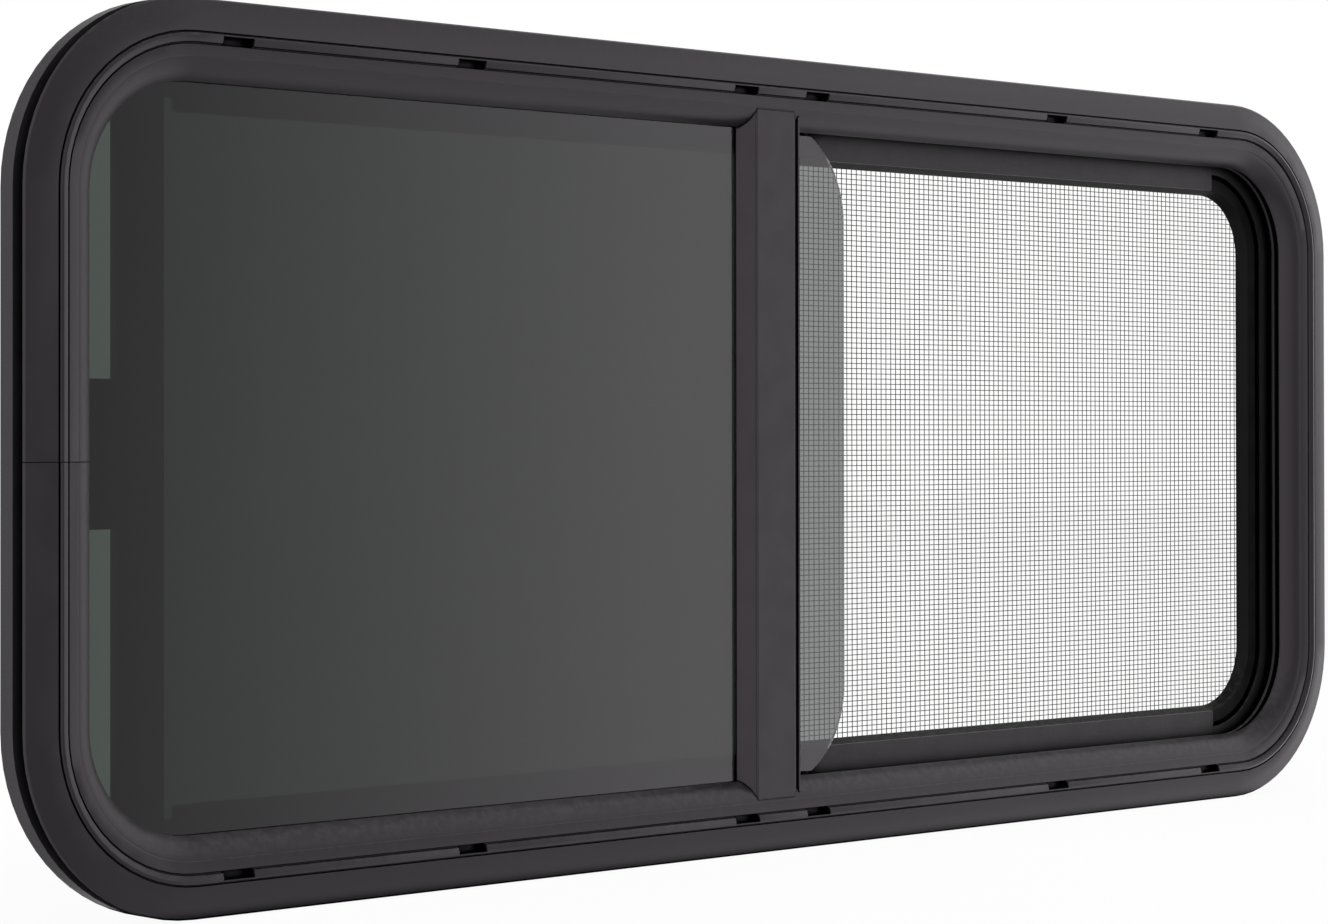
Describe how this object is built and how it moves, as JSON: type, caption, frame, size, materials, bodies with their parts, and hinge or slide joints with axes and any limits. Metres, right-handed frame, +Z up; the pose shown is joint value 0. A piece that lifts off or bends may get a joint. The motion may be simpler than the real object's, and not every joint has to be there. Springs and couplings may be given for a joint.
{
  "type": "sliding caravan window",
  "caption": "Horizontal sliding caravan window: dark rounded frame and inside clamp ring, fixed pane left, sliding pane pushed open over it, insect screen on the right.",
  "frame": {"origin": "centre of the window, on the back face of the outside flange where it lies on the wall skin", "axes": "+X to the right seen from outside, +Z up, +Y into the room"},
  "size_m": [0.965, 0.0424, 0.431],
  "materials": {
    "frame_paint": "satin",
    "ring_paint": "satin",
    "screen_paint": "satin",
    "bare_aluminium": "brushed",
    "seal_rubber": "matte",
    "tinted_glass": "gloss",
    "black_plastic": "matte",
    "grey_nylon": "matte",
    "pile_fabric": "matte",
    "mesh_fibre": "matte",
    "screw_steel": "satin"
  },
  "bodies": {
    "frame": {"outer_frame": "frame_paint", "frame_body": "frame_paint", "frame_joint_key": "bare_aluminium", "flange_seal": "seal_rubber", "clamp_ring": "ring_paint", "clamp_ring_screws": "screw_steel", "fixed_glass": "tinted_glass", "fixed_glass_seal": "seal_rubber", "glazing_bead_left": "black_plastic", "mullion": "frame_paint", "mullion_pile": "pile_fabric", "track_strip_top": "black_plastic", "track_strip_bottom": "black_plastic", "jamb_channel_right": "black_plastic", "jamb_pile_right": "pile_fabric", "screen_frame": "screen_paint", "screen_spline": "seal_rubber", "screen_mesh": "mesh_fibre", "latch_keeper": "black_plastic"},
    "sash": {"sliding_glass": "tinted_glass", "slider_stile": "frame_paint", "stile_guide_top": "grey_nylon", "stile_guide_bottom": "grey_nylon", "glide_shoes": "black_plastic", "latch_body": "black_plastic", "latch_lever": "black_plastic", "latch_screws": "screw_steel"}
  },
  "joints": [
    {"name": "sash_slide", "type": "slide", "parent": "frame", "child": "sash", "axis": [1, 0, 0], "range_m": [-0.004, 0.391]}
  ]
}
